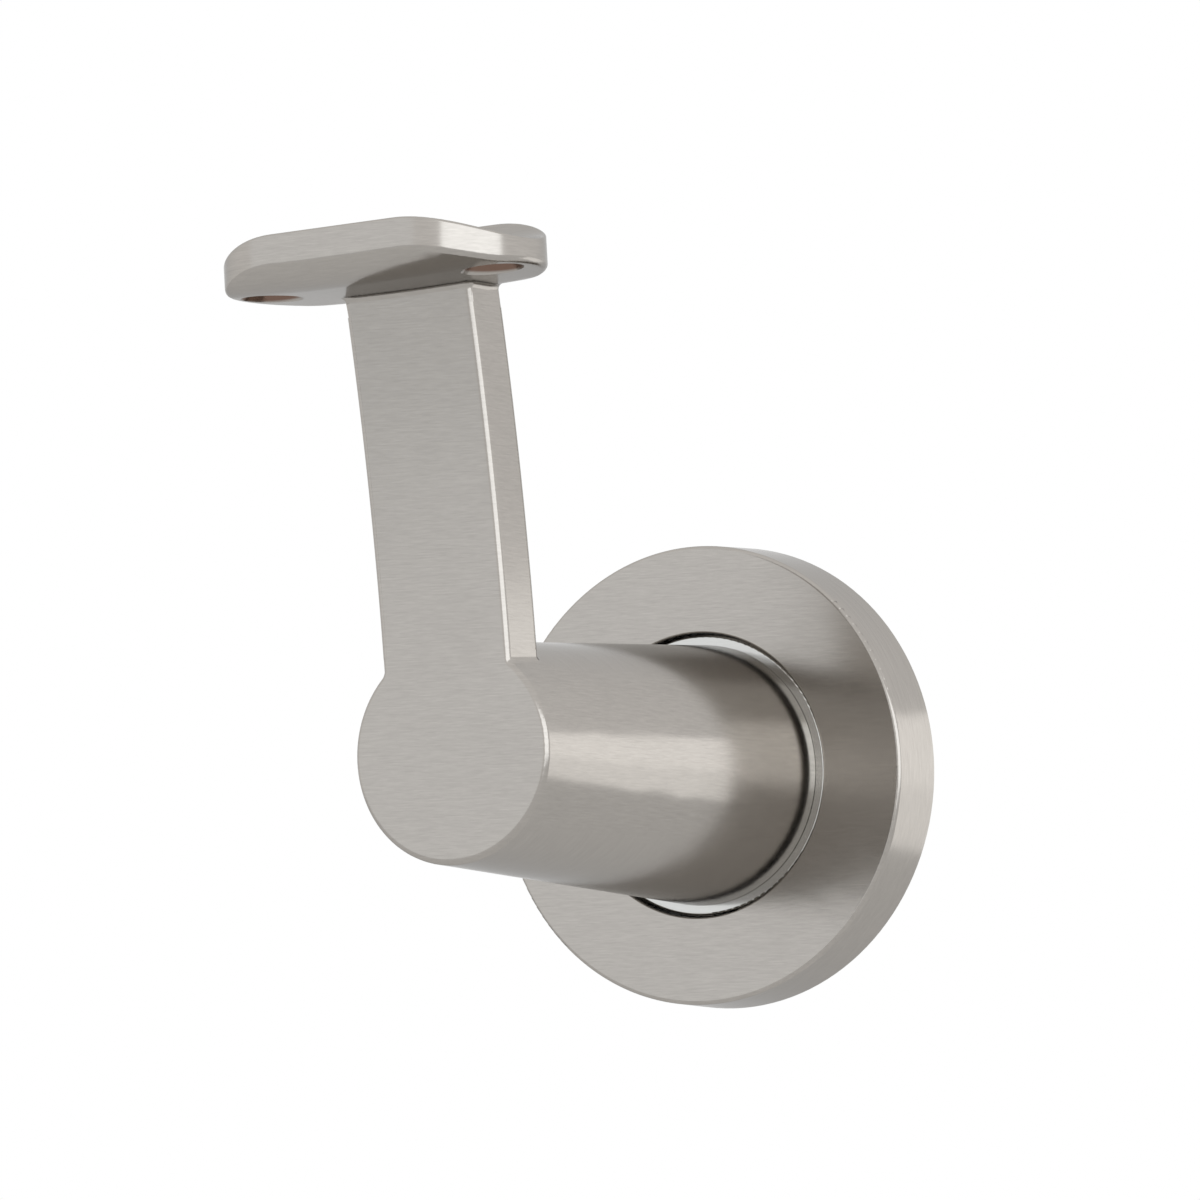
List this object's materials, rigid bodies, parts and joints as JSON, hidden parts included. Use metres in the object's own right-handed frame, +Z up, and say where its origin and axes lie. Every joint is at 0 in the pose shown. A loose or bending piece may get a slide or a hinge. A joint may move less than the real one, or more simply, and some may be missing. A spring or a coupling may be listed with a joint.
{
  "type": "handrail bracket",
  "caption": "Wall bracket for a round handrail: round cover rose, tapered post, flat bowed arm and a round-ended saddle with countersunk holes.",
  "frame": {"origin": "centre of the wall plate's back face, on the post's axis, in the wall plane", "axes": "+Y into the wall, +Z up, X along the rail"},
  "size_m": [0.0666, 0.1025, 0.106],
  "materials": {
    "satin_nickel": "satin nickel plate with fine brush lines",
    "rose_nickel": "satin nickel plate with fine brush lines",
    "hub_steel": "turned bright face",
    "spring_steel": "drawn bright wire",
    "screw_steel": "zinc plate"
  },
  "bodies": {
    "bracket": {"bracket_body": "satin_nickel", "wall_plate": "hub_steel", "snap_ring": "spring_steel", "mounting_screw": "screw_steel", "lock_washer": "spring_steel", "dowel_pins": "screw_steel"},
    "rose": {"cover_rose": "rose_nickel"}
  },
  "joints": [
    {"name": "rose_slide", "type": "slide", "parent": "bracket", "child": "rose", "axis": [0, -1, 0], "range_m": [0, 0.06]}
  ]
}
